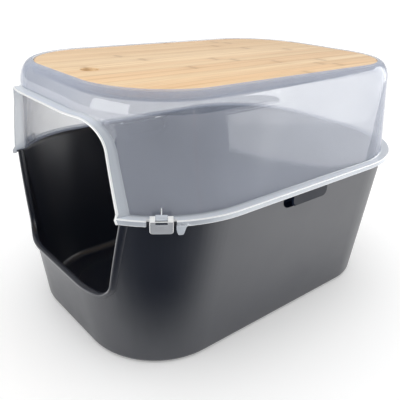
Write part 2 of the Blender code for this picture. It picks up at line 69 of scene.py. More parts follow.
# Driving outlines, from the floor up. The rim's half length sets where its middle lies.
RIM_HALF_X = HOOD_BOX[1].x
RIM_HALF_Y = 0.2800
MIDDLE_Y = HOOD_BOX[1].y - RIM_HALF_Y
BOARD_HALF_X = BOARD_BOX[1].x
BOARD_HALF_Y = (BOARD_BOX[1].y - BOARD_BOX[0].y) / 2
BOARD_MIDDLE_Y = (BOARD_BOX[1].y + BOARD_BOX[0].y) / 2
TUB_BASE = Outline(0.1596, 0.2402, 0.103, 0.094, MIDDLE_Y)
TUB_TOP = Outline(0.1910, 0.2710, 0.148, 0.144, MIDDLE_Y)
RIM = Outline(RIM_HALF_X, RIM_HALF_Y, 0.157, 0.153, MIDDLE_Y)
HOOD_FOOT = Outline(0.1882, 0.2680, 0.145, 0.141, MIDDLE_Y)
HOOD_SHOULDER = Outline(0.1734, 0.2580, 0.123, 0.122, MIDDLE_Y + 0.006)
BOARD = Outline(BOARD_HALF_X, BOARD_HALF_Y, 0.101, 0.101, BOARD_MIDDLE_Y)

# Driving heights.
TUB_HEIGHT = 0.2150
SKIRT_BOTTOM = 0.2110
HOOD_SEAT = 0.2153
FLANGE_TOP = 0.2175
SHOULDER_HEIGHT = 0.318
HOOD_HEIGHT = HOOD_BOX[1].z
BOARD_TOP = BOARD_BOX[1].z
BOARD_THICKNESS = BOARD_BOX[1].z - BOARD_BOX[0].z

# Tub.
TUB_WALL = 0.0028
TUB_FLOOR = 0.0030
BASE_FILLET = 0.008
FLOOR_FILLET = 0.010
PANEL_INSET = 0.042
PANEL_STEP = 0.0015
LIP_INSET = 0.0034
LIP_THICKNESS = 0.0022
LIP_ROUND = 0.0005
RIM_CHAMFER_DEPTH = 0.0055
RIM_CHAMFER_WIDTH = 0.0016
SILL_HEIGHT = 0.1012
SILL_HALF_WIDTH = 0.1055
ENTRY_TOP_HALF_WIDTH = 0.1337
ENTRY_CORNER = 0.025
BEAD_WIDTH = 0.0066
BEAD_PROUD = 0.0048
BEAD_END_X = 0.1405
FLANGE_GAP_Y = (-0.35, -0.15)
FLANGE_GAP_Z = (0.19, 0.24)
FRONT_CUT_Y = (-0.40, -0.12)
GRIP_HALF_WIDTH = 0.034
GRIP_BOTTOM = 0.1945
GRIP_CORNER = 0.007
GRIP_BACK_EASE = 0.0004
GRIP_FACE_EASE = 0.0014
POCKET_HALF_WIDTH = 0.0428
POCKET_BOTTOM = 0.1892
POCKET_TOP = 0.2116
POCKET_CORNER = 0.014
POCKET_BACK_X = 0.1795
POCKET_MOUTH_DEPTH = 0.009
POCKET_DRAFT = 0.003
POCKET_BLEND = 0.018

# Hood.
HOOD_WALL = 0.0023
SKIRT_THICKNESS = 0.0020
RIM_BEAD = 0.0006
FOOT_FILLET = 0.0016
SHOULDER_RUN = 0.0169
BOARD_GAP = 0.0010
LEDGE_WIDTH = 0.011
LEDGE_THICKNESS = 0.0024
MOUTH_FOOT_HALF_WIDTH = 0.1366
MOUTH_TOP_HALF_WIDTH = 0.1111
MOUTH_FOOT_HEIGHT = 0.2164
MOUTH_TOP = 0.3140
MOUTH_CORNER = 0.039
COLLAR_FOOT_DEPTH = 0.0130
COLLAR_TOP_DEPTH = 0.0094
COLLAR_THICKNESS = 0.0022
COLLAR_FOOT_GAP = 0.0100
COLLAR_FLARE = 0.0016

# Board.
BOARD_EDGE = 0.0012
FINGER_HOLE_RADIUS = 0.011
FINGER_HOLE_EASE = 0.0012
FINGER_HOLE_Y = MIDDLE_Y - 0.195

# Clips, in a frame at the middle of each front corner of the rim: u along the rim towards the
# rear, v outwards from the corner's centre, z up. The hinges' places come from the joints.
CLIP_ANGLE = radians(35.1)
CORNER_RADIUS = RIM.front_r
PIVOT_V = 0.1543
PIVOT_Z = next(j["pos_m"][2] for j in frame["joints"] if j["name"] == "clip_right_hinge")
KNUCKLE_RADIUS = 0.0024
KNUCKLE_ROOT_V = 0.1468
EAR_INNER_U = 0.0066
TONGUE_HALF_WIDTH = 0.0125
TONGUE_V = (0.1548, 0.1571)
TONGUE_Z = (0.2034, 0.2176)
TONGUE_CORNER = 0.003
WINDOW_HALF_WIDTH = 0.0063
WINDOW_Z = (0.2138, 0.2166)
BOSS_BELOW_WINDOW = (0.0026, 0.0002)
STUB_RADIUS = 0.00125
STUB_BORE = 0.00150
STUB_END_U = 0.0040
NOTCH_HALF_WIDTH = 0.0160
NOTCH_V = 0.1512
NOTCH_Z = (0.205, 0.2215)
CATCH_HALF_WIDTH = 0.009
CATCH_BOTTOM = 0.2122
CATCH_TOP = 0.2172
RIB_FOOT_V = (0.1462, 0.1505)
RIB_TIP_V = (0.1440, 0.1490)
RIB_TOP = 0.2278
RIB_HALF_WIDTH = 0.0006
TOOTH_ANGLES = (radians(29.3), radians(25.0))
TOOTH_DROP = 0.0095
TOOTH_NEAR_SHARE = 0.22
TOOTH_FAR_SHARE = 0.42
TOOTH_FAR_TAPER = 2.2
TOOTH_BLUNT_SHARE = 0.3
TOOTH_LEAST_DROP = 0.45
CLIP_BEVEL = 0.0005

# Milky slot 1 is a painted highlight: a whiter, more solid plastic with a glow, on edges that catch
# light. Milky slot 2 is the lighter, more solid rim plastic, also with a painted glow.
BODY_SLOT, EDGE_HIGHLIGHT_SLOT, RIM_SLOT = 0, 1, 2
# Charcoal slot 2 is painted shade: an almost unreflective copy of the plastic on the grip pockets, the
# catch blocks and the flaps' eased edges.
GRIP_SHADED_SLOT, PAINTED_SHADE_SLOT = 1, 2


# Pieces and helpers.


def add_object(name, mesh_data, materials=()):
    """A new object in the scene from a bmesh, which it uses up."""
    bmesh.ops.recalc_face_normals(mesh_data, faces=mesh_data.faces)
    mesh = bpy.data.meshes.new(name)
    for material in materials:
        mesh.materials.append(material)
    mesh_data.to_mesh(mesh)
    mesh_data.free()
    obj = bpy.data.objects.new(name, mesh)
    bpy.context.scene.collection.objects.link(obj)
    return obj


def combined(target, solid, operation):
    """Changes target's mesh by an exact Boolean with another solid."""
    helper = add_object("helper", solid, target.data.materials)
    modifier = target.modifiers.new("combine", "BOOLEAN")
    modifier.operation = operation
    modifier.solver = "EXACT"
    modifier.material_mode = "INDEX"
    modifier.object = helper
    keep_evaluated(target)
    old = helper.data
    bpy.data.objects.remove(helper)
    bpy.data.meshes.remove(old)
    return target


def taken_apart(obj):
    """The object's mesh as a solid, without the object."""
    solid = bmesh.new()
    solid.from_mesh(obj.data)
    old = obj.data
    bpy.data.objects.remove(obj)
    bpy.data.meshes.remove(old)
    return solid


def keep_evaluated(obj):
    """Makes what the modifiers show the object's own mesh."""
    graph = bpy.context.evaluated_depsgraph_get()
    mesh = bpy.data.meshes.new_from_object(obj.evaluated_get(graph), depsgraph=graph)
    old = obj.data
    obj.modifiers.clear()
    obj.data = mesh
    bpy.data.meshes.remove(old)
    mesh.name = obj.name


def finished(obj, body, nodes):
    """Shades a piece and puts it on its body in place of CAD nodes."""
    obj.data.shade_smooth()
    obj.data.set_sharp_from_angle(angle=SMOOTH_UP_TO)
    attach(obj, body)
    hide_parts(*nodes)
    return obj


# Outlines.


def grown(outline, distance):
    """The outline moved outwards all round."""
    return Outline(
        outline.half_x + distance,
        outline.half_y + distance,
        outline.front_r + distance,
        outline.rear_r + distance,
        outline.centre_y,
    )


def blended(low, high, share):
    """An outline part of the way from one to another."""
    return Outline(*(a + (b - a) * share for a, b in zip(low, high)))


def tub_outline(z):
    """The outside of the tub's wall at a height."""
    return blended(TUB_BASE, TUB_TOP, z / TUB_HEIGHT)


def hood_outline(z):
    """The outside of the hood's wall at a height."""
    share = (z - FLANGE_TOP) / (SHOULDER_HEIGHT - FLANGE_TOP)
    return blended(HOOD_FOOT, HOOD_SHOULDER, share)


def ring_points(outline, z):
    """Points round the outline, anticlockwise from the front of the +X side."""
    corners = (
        (1, -1, outline.front_r, -pi / 2),
        (1, 1, outline.rear_r, 0.0),
        (-1, 1, outline.rear_r, pi / 2),
        (-1, -1, outline.front_r, pi),
    )
    arcs = []
    for side_x, side_y, radius, start in corners:
        centre_x = side_x * (outline.half_x - radius)
        centre_y = side_y * (outline.half_y - radius) + outline.centre_y
        turns = [start + pi / 2 * step / CORNER_STEPS for step in range(CORNER_STEPS + 1)]
        arcs.append([(centre_x + radius * cos(a), centre_y + radius * sin(a), z) for a in turns])
    points = []
    for arc, following in zip(arcs, arcs[1:] + arcs[:1]):
        points += arc
        here, there = Vector(arc[-1]), Vector(following[0])
        for step in range(1, STRAIGHT_STEPS):
            points.append(tuple(here.lerp(there, step / STRAIGHT_STEPS)))
    return points


def front_y(outline, x):
    """The Y of the outline's front edge at x."""
    past_corner = abs(x) - (outline.half_x - outline.front_r)
    straight = outline.half_y - outline.front_r
    reach = outline.front_r
    if past_corner > 0:
        reach = sqrt(max(outline.front_r**2 - past_corner**2, 0.0))
    return outline.centre_y - straight - reach


def round_stations(outline, offset, height, radius, start, end, steps=5):
    """Stations on an arc in section: its centre is offset out from the outline, at height."""
    stations = []
    for step in range(steps + 1):
        angle = radians(start + (end - start) * step / steps)
        stations.append((grown(outline, offset + radius * cos(angle)), height + radius * sin(angle)))
    return stations


# Solids.


def loft(stations, closed_profile, slots=None):
    """A solid through (outline, z) stations: a tube-like ring, or one capped at both ends.
    slots gives the material slot of the band that starts at a station."""
    shell = bmesh.new()
    rings = [[shell.verts.new(p) for p in ring_points(o, z)] for o, z in stations]
    pairs = list(zip(rings, rings[1:]))
    if closed_profile:
        pairs.append((rings[-1], rings[0]))
    for band, (low, high) in enumerate(pairs):
        for i in range(len(low)):
            j = (i + 1) % len(low)
            face = shell.faces.new((low[i], low[j], high[j], high[i]))
            face.material_index = (slots or {}).get(band, BODY_SLOT)
    if not closed_profile:
        shell.faces.new(rings[0])
        shell.faces.new(rings[-1])
    return shell


def sweep(sections, slots=None, end_slot=BODY_SLOT):
    """A capped solid through sections that all have the same number of points. slots gives
    the material slot of the side that starts at a point, and end_slot that of the caps."""
    shell = bmesh.new()
    rings = [[shell.verts.new(p) for p in section] for section in sections]
    for low, high in zip(rings, rings[1:]):
        for i in range(len(low)):
            j = (i + 1) % len(low)
            face = shell.faces.new((low[i], low[j], high[j], high[i]))
            face.material_index = (slots or {}).get(i, BODY_SLOT)
    for ring in (rings[0], rings[-1]):
        shell.faces.new(ring).material_index = end_slot
    return shell


def prism(outline, direction, low, high, place):
    """A flat outline pushed along a direction, from low to high. place maps its 2-D points."""
    push = Vector(direction)
    flat = [Vector(place(a, b)) for a, b in outline]
    return sweep([[p + push * low for p in flat], [p + push * high for p in flat]])


def box(low, high):
    """An upright box between two corners."""
    made = bmesh.new()
    size = Vector(high) - Vector(low)
    centre = (Vector(high) + Vector(low)) / 2
    matrix = Matrix.Translation(centre) @ Matrix.Diagonal((*size, 1.0))
    bmesh.ops.create_cube(made, size=1.0, matrix=matrix)
    return made


def gathered(sources):
    """One bmesh that holds several, as separate shells."""
    target = bmesh.new()
    for source in sources:
        mesh = bpy.data.meshes.new("gathered")
        bmesh.ops.recalc_face_normals(source, faces=source.faces)
        source.to_mesh(mesh)
        source.free()
        target.from_mesh(mesh)
        bpy.data.meshes.remove(mesh)
    return target


def painted(solid, slot):
    """The same solid with one material slot all over."""
    for face in solid.faces:
        face.material_index = slot
    return solid


def rounded_polygon(corners, steps=8):
    """Corners are (x, y, radius), in order. Each is replaced by an arc of that radius."""
    points = []
    for i, (x, y, radius) in enumerate(corners):
        here = Vector((x, y))
        before = (Vector(corners[i - 1][:2]) - here).normalized()
        after = (Vector(corners[(i + 1) % len(corners)][:2]) - here).normalized()
        if radius == 0:
            points.append((x, y))
            continue
        half_angle = before.angle(after) / 2
        centre = here + (before + after).normalized() * radius / sin(half_angle)
        start = here + before * radius / tan(half_angle) - centre
        end = here + after * radius / tan(half_angle) - centre
        turn = (atan2(end.y, end.x) - atan2(start.y, start.x) + pi) % (2 * pi) - pi
        first = atan2(start.y, start.x)
        for step in range(steps + 1):
            angle = first + turn * step / steps
            points.append((centre.x + radius * cos(angle), centre.y + radius * sin(angle)))
    return points


def mirrored(station):
    """The same place on the -X side."""
    x, z, nx, nz = station
    return (-x, z, -nx, nz)


def arch_path(foot, corner, radius, straight_steps=14, corner_steps=20):
    """(x, z, normal x, normal z) along an arch, the normal pointing out of the opening."""
    foot, corner = Vector(foot), Vector(corner)
    side = (corner - foot).normalized()
    across = Vector((-1.0, 0.0))
    turn = 1.0 if corner.y > foot.y else -1.0
    half_angle = (-side).angle(across) / 2
    tangent = radius / tan(half_angle)
    centre = corner + (across - side).normalized() * radius / sin(half_angle)
    leave, arrive = corner - side * tangent, corner + across * tangent
    side_normal = Vector((side.y, -side.x)) * turn
    path = []
    for step in range(straight_steps):
        path.append((foot.lerp(leave, step / straight_steps), side_normal))
    start = atan2(*(leave - centre).yx)
    end = atan2(*(arrive - centre).yx)
    for step in range(corner_steps + 1):
        angle = start + (end - start) * step / corner_steps
        normal = Vector((cos(angle), sin(angle)))
        path.append((centre + normal * radius, normal))
    flat_normal = Vector((0.0, turn))
    for step in range(1, straight_steps + 1):
        middle = Vector((0.0, corner.y))
        path.append((arrive.lerp(middle, step / straight_steps), flat_normal))
    half = [(p.x, p.y, n.x, n.y) for p, n in path]
    return half + [mirrored(station) for station in reversed(half[:-1])]


def opening_cutter(path, growth, far_z):
    """A prism along Y that cuts the opening out of a front wall."""
    outline = [(x + nx * growth, z + nz * growth) for x, z, nx, nz in path]
    outline = [(outline[0][0], far_z), *outline, (outline[-1][0], far_z)]
    return prism(outline, (0, 1, 0), *FRONT_CUT_Y, place=lambda a, b: (a, 0.0, b))


# Tub.


def entry_path(top):
    """The entry cut-out's clear edge, from `top` down to the sill and up again."""
    rise = (top - SILL_HEIGHT) / (SKIRT_BOTTOM - SILL_HEIGHT)
    top_half = SILL_HALF_WIDTH + (ENTRY_TOP_HALF_WIDTH - SILL_HALF_WIDTH) * rise
    return arch_path((top_half, top), (SILL_HALF_WIDTH, SILL_HEIGHT), ENTRY_CORNER)


def fillet_stations(radius, inset, floor, upwards):
    """The rounded turn between the tub's floor and its wall."""
    stations = []
    for step in range(9):
        angle = radians(90) * (step if upwards else 8 - step) / 8
        z = floor + radius * (1 - cos(angle))
        stations.append((grown(tub_outline(z), -inset - radius * (1 - sin(angle))), z))
    return stations


def panel_stations(height, upwards):
    """The shallow step round the raised middle of the floor, with eased edges."""
    ease = 0.0006
    run = PANEL_STEP + ease
    steps = [
        (-PANEL_INSET - run, height + PANEL_STEP),
        (-PANEL_INSET - run + ease, height + PANEL_STEP - 0.0002),
        (-PANEL_INSET - ease, height + 0.0002),
        (-PANEL_INSET, height),
    ]
    stations = [(grown(TUB_BASE, offset), z) for offset, z in steps]
    return stations if upwards else stations[::-1]


def tub_shell():
    """The tub without its flange: outside from the middle of the base up, inside back down."""
    chamfer_z = TUB_HEIGHT - RIM_CHAMFER_DEPTH
    ease = 0.0004
    stations = panel_stations(0.0, upwards=True)
    stations += fillet_stations(BASE_FILLET, 0.0, 0.0, upwards=True)
    stations += [
        (TUB_TOP, TUB_HEIGHT),
        (grown(TUB_TOP, RIM_CHAMFER_WIDTH - TUB_WALL + ease), TUB_HEIGHT),
        (grown(TUB_TOP, RIM_CHAMFER_WIDTH - TUB_WALL), TUB_HEIGHT - ease),
        (grown(tub_outline(chamfer_z), -TUB_WALL + ease), chamfer_z + ease * 2),
        (grown(tub_outline(chamfer_z), -TUB_WALL), chamfer_z - ease),
    ]
    stations += fillet_stations(FLOOR_FILLET, TUB_WALL, TUB_FLOOR, upwards=False)
    stations += panel_stations(TUB_FLOOR, upwards=False)
    return loft(stations, closed_profile=False)


def tub_flange():
    """The flange and its turned-down lip, sunk a little into the wall."""
    root = grown(TUB_TOP, -0.001)
    outer = grown(RIM, -LIP_INSET)
    inner = grown(outer, -LIP_THICKNESS)
    underside = TUB_HEIGHT - 0.0022
    lip_bottom = SKIRT_BOTTOM + 0.0004
    stations = [(root, underside), (inner, underside)]
    stations += round_stations(inner, LIP_ROUND, lip_bottom + LIP_ROUND, LIP_ROUND, 180, 270)
    stations += round_stations(outer, -LIP_ROUND, lip_bottom + LIP_ROUND, LIP_ROUND, 270, 360)
    stations += round_stations(outer, -LIP_ROUND, TUB_HEIGHT - 0.0006, LIP_ROUND, 0, 90)
    stations.append((root, TUB_HEIGHT - 0.0001))
    return loft(stations, closed_profile=True)


def entry_bead():
    """The thick rounded rim round the entry cut-out."""
    sides = 20
    sections = []
    for x, z, nx, nz in entry_path(TUB_HEIGHT):
        section = []
        for step in range(sides):
            angle = 2 * pi * step / sides
            across = BEAD_WIDTH / 2 * (1 + cos(angle))
            px, pz = x + nx * across, min(z + nz * across, TUB_HEIGHT)
            wall = front_y(tub_outline(pz), px)
            depth = (BEAD_PROUD + TUB_WALL + 0.001) / 2
            section.append((px, wall - BEAD_PROUD + depth * (1 + sin(angle)), pz))
        sections.append(section)
    return sweep(sections)


def grip_flap(side):
    """The part of the lip that hangs lower, for the fingers, on one long side."""
    rear, front = MIDDLE_Y + GRIP_HALF_WIDTH, MIDDLE_Y - GRIP_HALF_WIDTH
    top = TUB_HEIGHT - 0.0008
    corners = [
        (front, GRIP_BOTTOM, GRIP_CORNER),
        (rear, GRIP_BOTTOM, GRIP_CORNER),
        (rear, top, 0),
        (front, top, 0),
    ]
    outer = RIM.half_x - LIP_INSET
    inner = outer - LIP_THICKNESS
    depths = (
        (inner, GRIP_BACK_EASE),
        (inner + GRIP_BACK_EASE, 0.0),
        (outer - GRIP_FACE_EASE, 0.0),
        (outer, GRIP_FACE_EASE),
    )
    sections = []
    for x, inset in depths:
        section = []
        for y, z in rounded_polygon(corners):
            y_share = 1 - inset / GRIP_HALF_WIDTH
            z_inset = inset if z < GRIP_BOTTOM + GRIP_CORNER else 0.0
            section.append((side * x, MIDDLE_Y + (y - MIDDLE_Y) * y_share, z + z_inset))
        sections.append(section)
    # Painted shadow: the flap's eased edges get the painted-shade copy, a dark line round the flap.
    rims = {i: PAINTED_SHADE_SLOT for i in range(len(sections[0]))}
    # The flap's faces get a rougher copy with less shine: the roughness is their finish, the lower
    # shine is painted shade that darkens them.
    return sweep(sections, rims, GRIP_SHADED_SLOT)


def pocket_outline(growth):
    """The grip pocket's (y, z) outline, grown all round."""
    half_width = POCKET_HALF_WIDTH + growth
    bottom, top = POCKET_BOTTOM - growth, POCKET_TOP + growth
    corners = [
        (MIDDLE_Y - half_width, bottom, POCKET_CORNER + growth),
        (MIDDLE_Y + half_width, bottom, POCKET_CORNER + growth),
        (MIDDLE_Y + half_width, top, 0),
        (MIDDLE_Y - half_width, top, 0),
    ]
    return rounded_polygon(corners)


def grip_pocket(side):
    """The hollow behind a grip flap, from its narrower back out past the tub's wall, in painted shade.
    """
    mouth_x = POCKET_BACK_X + POCKET_MOUTH_DEPTH
    reach = RIM.half_x - LIP_INSET - LIP_THICKNESS - 0.001
    depths = (
        (POCKET_BACK_X, -POCKET_DRAFT - 0.001),
        (POCKET_BACK_X + 0.001, -POCKET_DRAFT),
        (mouth_x, 0.0),
        (reach, 0.0),
    )
    hollow = sweep([[(side * x, y, z) for y, z in pocket_outline(growth)] for x, growth in depths])
    # Painted shade: the hollow's faces get the near-black copy that stands for the shade in it.
    return painted(hollow, PAINTED_SHADE_SLOT)


def pocket_back(side):
    """The bulge on the inside of the wall that closes a grip pocket."""
    ease = 0.001
    sections = []
    for growth, x in (
        (TUB_WALL - POCKET_DRAFT - ease, POCKET_BACK_X - TUB_WALL),
        (TUB_WALL - POCKET_DRAFT, POCKET_BACK_X - TUB_WALL + ease),
    ):
        sections.append([(side * x, y, z) for y, z in pocket_outline(growth)])
    root = []
    for y, z in pocket_outline(POCKET_BLEND):
        z = min(z, TUB_HEIGHT - 0.004)
        root.append((side * (tub_outline(z).half_x - 0.8 * TUB_WALL), y, z))
    return sweep([*sections, root])


def build_tub(materials):
    """The wall, its pockets, the flange, the bead, the flaps and the catch blocks, as one solid."""
    tub = add_object("tub_shell", tub_shell(), materials)
    entry = opening_cutter(entry_path(TUB_HEIGHT + 0.03), 0.002, TUB_HEIGHT + 0.03)
    combined(tub, entry, "DIFFERENCE")
    combined(tub, gathered([pocket_back(1), pocket_back(-1)]), "UNION")
    combined(tub, gathered([grip_pocket(1), grip_pocket(-1)]), "DIFFERENCE")
    flange = add_object("flange", tub_flange(), materials)
    (front, rear), (low, high) = FLANGE_GAP_Y, FLANGE_GAP_Z
    gap = box((-BEAD_END_X, front, low), (BEAD_END_X, rear, high))
    combined(flange, gap, "DIFFERENCE")
    combined(tub, taken_apart(flange), "UNION")
    combined(tub, entry_bead(), "UNION")
    extras = [build(side) for side in (1, -1) for build in (grip_flap, catch_block)]
    return combined(tub, gathered(extras), "UNION")


# Hood.


def mouth_path(foot_z):
    """The mouth's clear edge, from `foot_z` up over the top and down again."""
    drop = (foot_z - MOUTH_FOOT_HEIGHT) / (MOUTH_TOP - MOUTH_FOOT_HEIGHT)
    foot_half = MOUTH_FOOT_HALF_WIDTH + (MOUTH_TOP_HALF_WIDTH - MOUTH_FOOT_HALF_WIDTH) * drop
    return arch_path((foot_half, foot_z), (MOUTH_TOP_HALF_WIDTH, MOUTH_TOP), MOUTH_CORNER)


def shoulder_arc(thickness):
    """Stations over the rounded shoulder, from the wall to the crest."""
    steps = 18
    run, rise = SHOULDER_RUN, HOOD_HEIGHT - SHOULDER_HEIGHT
    stations = []
    for step in range(steps + 1):
        angle = radians(90) * step / steps
        inset = run - (run - thickness) * cos(angle)
        z = SHOULDER_HEIGHT + (rise - thickness) * sin(angle)
        stations.append((grown(HOOD_SHOULDER, -inset), z))
    return stations


def skirt_and_flange():
    """The outside of the hood from the skirt's inner edge to the foot of the wall, with its
    material slots: a painted highlight at the skirt's bottom edge and along the middle of the bead."""
    outer = grown(RIM, -RIM_BEAD)
    inner = grown(outer, -SKIRT_THICKNESS)
    ease, bead_radius = 0.0005, 0.0011
    bottom = round_stations(inner, ease, SKIRT_BOTTOM + ease, ease, 180, 270, 3)
    bottom += round_stations(outer, -ease, SKIRT_BOTTOM + ease, ease, 270, 360, 3)
    bead = round_stations(RIM, -bead_radius, FLANGE_TOP - 0.0002, bead_radius, -56, 118, 9)
    fillet = round_stations(HOOD_FOOT, FOOT_FILLET, FLANGE_TOP + FOOT_FILLET, FOOT_FILLET, 270, 188)
    stations = bottom + bead + fillet
    slots = {band: RIM_SLOT for band in range(len(stations) - 1)}
    slots.update({band: EDGE_HIGHLIGHT_SLOT for band in range(len(bottom) - 1)})
    bead_middle = range(len(bottom) + 2, len(bottom) + 7)
    slots.update({band: EDGE_HIGHLIGHT_SLOT for band in bead_middle})
    return stations, slots


def hood_shell():
    """Skirt, flange, wall, shoulder and the seat for the board, as one closed profile."""
    ledge_top = BOARD_TOP - BOARD_THICKNESS - 0.0003
    under = ledge_top - LEDGE_THICKNESS
    recess = grown(BOARD, BOARD_GAP)
    recess_back = grown(recess, HOOD_WALL)
    ledge_edge = grown(recess, -LEDGE_WIDTH)
    ease = 0.0006
    stations, slots = skirt_and_flange()
    stations += shoulder_arc(0.0)[:-1]
    crest = len(stations)
    stations += round_stations(recess, ease, HOOD_HEIGHT - ease, ease, 90, 180, 4)
    stations.append((recess, ledge_top))
    stations += round_stations(ledge_edge, ease, ledge_top - ease, ease, 90, 180, 3)
    stations += round_stations(ledge_edge, ease, under + ease, ease, 180, 270, 3)
    slots.update({band: RIM_SLOT for band in range(crest, len(stations))})
    stations.append((recess_back, under))
    inner_arc = [s for s in shoulder_arc(HOOD_WALL) if s[0].half_x > recess_back.half_x + 0.0006]
    stations.append((recess_back, inner_arc[-1][1] + 0.0002))
    stations += reversed(inner_arc)
    stations += [
        (grown(HOOD_FOOT, -HOOD_WALL), HOOD_SEAT),
        (grown(RIM, -RIM_BEAD - SKIRT_THICKNESS), HOOD_SEAT),
    ]
    return loft(stations, closed_profile=True, slots=slots)


def collar_section(x, z, nx, nz, on_wall):
    """One section of the mouth's collar: a rounded lip, and a flare where it meets the wall."""
    rise = (z - SKIRT_BOTTOM) / (MOUTH_TOP - SKIRT_BOTTOM)
    depth = COLLAR_FOOT_DEPTH + (COLLAR_TOP_DEPTH - COLLAR_FOOT_DEPTH) * rise
    round_r = COLLAR_THICKNESS / 2
    inner = -HOOD_WALL if on_wall else COLLAR_FOOT_GAP
    flare = COLLAR_FLARE if on_wall else 0.0002
    base = 0.0 if on_wall else COLLAR_FOOT_GAP + 0.0002
    outline = [(0.0, inner)]
    for step in range(9):
        angle = pi - pi * step / 8
        outline.append((round_r + round_r * cos(angle), depth - round_r + round_r * sin(angle)))
    outline += [
        (COLLAR_THICKNESS, base + flare * 1.5),
        (COLLAR_THICKNESS + flare * 0.15, base + flare * 0.75),
        (COLLAR_THICKNESS + flare * 0.45, base + flare * 0.30),
        (COLLAR_THICKNESS + flare, base),
        (COLLAR_THICKNESS + flare, (base + inner) / 2),
        (COLLAR_THICKNESS, inner),
    ]
    section = []
    for across, out in outline:
        px, pz = x + nx * across, z + nz * across
        y = front_y(hood_outline(pz), px) - out
        if pz < FLANGE_TOP and out > COLLAR_FOOT_GAP + 0.001:
            y = min(y, front_y(RIM, px) - 0.0003)
        section.append((px, y, pz))
    return section


def collar():
    """The mouth's collar. Below the flange only its outer part goes on down, clear of the
    tub's bead."""
    path = mouth_path(SKIRT_BOTTOM)
    step_z = HOOD_SEAT + 0.0003
    low, high = mouth_path(step_z - 0.0002)[0], mouth_path(step_z)[0]
    path = [path[0], low, high, *path[1:-1], mirrored(high), mirrored(low), path[-1]]
    sections = [collar_section(*station, on_wall=station[1] >= step_z) for station in path]
    # Painted highlight: the collar's rounded lip gets the highlight material; the flare and back get
    # the rim plastic.
    slots = {side: EDGE_HIGHLIGHT_SLOT for side in range(1, 9)}
    slots.update({side: RIM_SLOT for side in (0, 9, 10, 11, 12)})
    return sweep(sections, slots)


def build_hood(materials):
    """The shell with its mouth, collar, guard tabs and knuckles, as one solid."""
    hood = add_object("hood_shell", hood_shell(), materials)
    mouth = opening_cutter(mouth_path(0.19), COLLAR_THICKNESS / 2, 0.19)
    # Painted highlight: the notches' cut faces take the highlight material from the cutters.
    notches = [painted(clip_notch(side), EDGE_HIGHLIGHT_SLOT) for side in (1, -1)]
    cutters = [mouth, *notches]
    combined(hood, gathered(cutters), "DIFFERENCE")
    combined(hood, collar(), "UNION")
    extras = [build(side) for side in (1, -1) for build in (guard_tooth, hood_knuckle, clip_rib)]
    combined(hood, gathered(extras), "UNION")
    bores = [bore for side in (1, -1) for bore in stub_bores(side)]
    return combined(hood, gathered(bores), "DIFFERENCE")


# Clips and what they work against, all in the corner frame (u, v, z).


def corner_point(side, u, v, z):
    """A point of the corner frame in world coordinates. side is 1 at +X and -1 at -X."""
    centre = Vector((RIM.half_x - RIM.front_r, RIM.centre_y + RIM.front_r - RIM.half_y, 0.0))
    out = Vector((cos(CLIP_ANGLE), -sin(CLIP_ANGLE), 0.0))
    along = Vector((sin(CLIP_ANGLE), cos(CLIP_ANGLE), 0.0))
    point = centre + out * v + along * u
    return Vector((side * point.x, point.y, z))


def corner_prism(side, profile, u_low, u_high):
    """A (v, z) profile pushed along u."""
    sections = [[corner_point(side, u, v, z) for v, z in profile] for u in (u_low, u_high)]
    return sweep(sections, {i: RIM_SLOT for i in range(len(profile))})


def corner_plate(side, outline, v_low, v_high, bevel=0.0):
    """A (u, z) outline pushed along v. Its edges get the painted highlight and can be bevelled."""
    middle_z = sum(z for u, z in outline) / len(outline)
    half_u = max(u for u, z in outline)
    half_z = max(z for u, z in outline) - middle_z
    depths = [(v_low, bevel), (v_high, bevel)]
    if bevel:
        depths[1:1] = [(v_low + bevel, 0.0), (v_high - bevel, 0.0)]
    sections = []
    for v, inset in depths:
        share_u, share_z = 1 - inset / half_u, 1 - inset / half_z
        section = []
        for u, z in outline:
            section.append(corner_point(side, u * share_u, v, middle_z + (z - middle_z) * share_z))
        sections.append(section)
    return sweep(sections, {i: EDGE_HIGHLIGHT_SLOT for i in range(len(outline))}, RIM_SLOT)


def rectangle(low, high):
    return [(low[0], low[1]), (high[0], low[1]), (high[0], high[1]), (low[0], high[1])]


def circle(centre, radius, steps=32):
    turns = [2 * pi * step / steps for step in range(steps)]
    return [(centre[0] + radius * cos(t), centre[1] + radius * sin(t)) for t in turns]


def catch_block(side):
    """The block on the tub's lip that shows through the clip's window, in painted shade."""
    outline = rectangle((-CATCH_HALF_WIDTH, CATCH_BOTTOM), (CATCH_HALF_WIDTH, CATCH_TOP))
    block = corner_plate(side, outline, NOTCH_V + 0.0006, TONGUE_V[0] - 0.0003)
    # Painted shade: the block is near-black so that the window reads as a dark slot.
    return painted(block, PAINTED_SHADE_SLOT)


def clip_notch(side):
    """What is cut from the hood's flange and skirt to make room for a clip."""
    low, high = NOTCH_Z
    outline = rectangle((-NOTCH_HALF_WIDTH, low), (NOTCH_HALF_WIDTH, high))
    return corner_plate(side, outline, NOTCH_V, CORNER_RADIUS + 0.004)


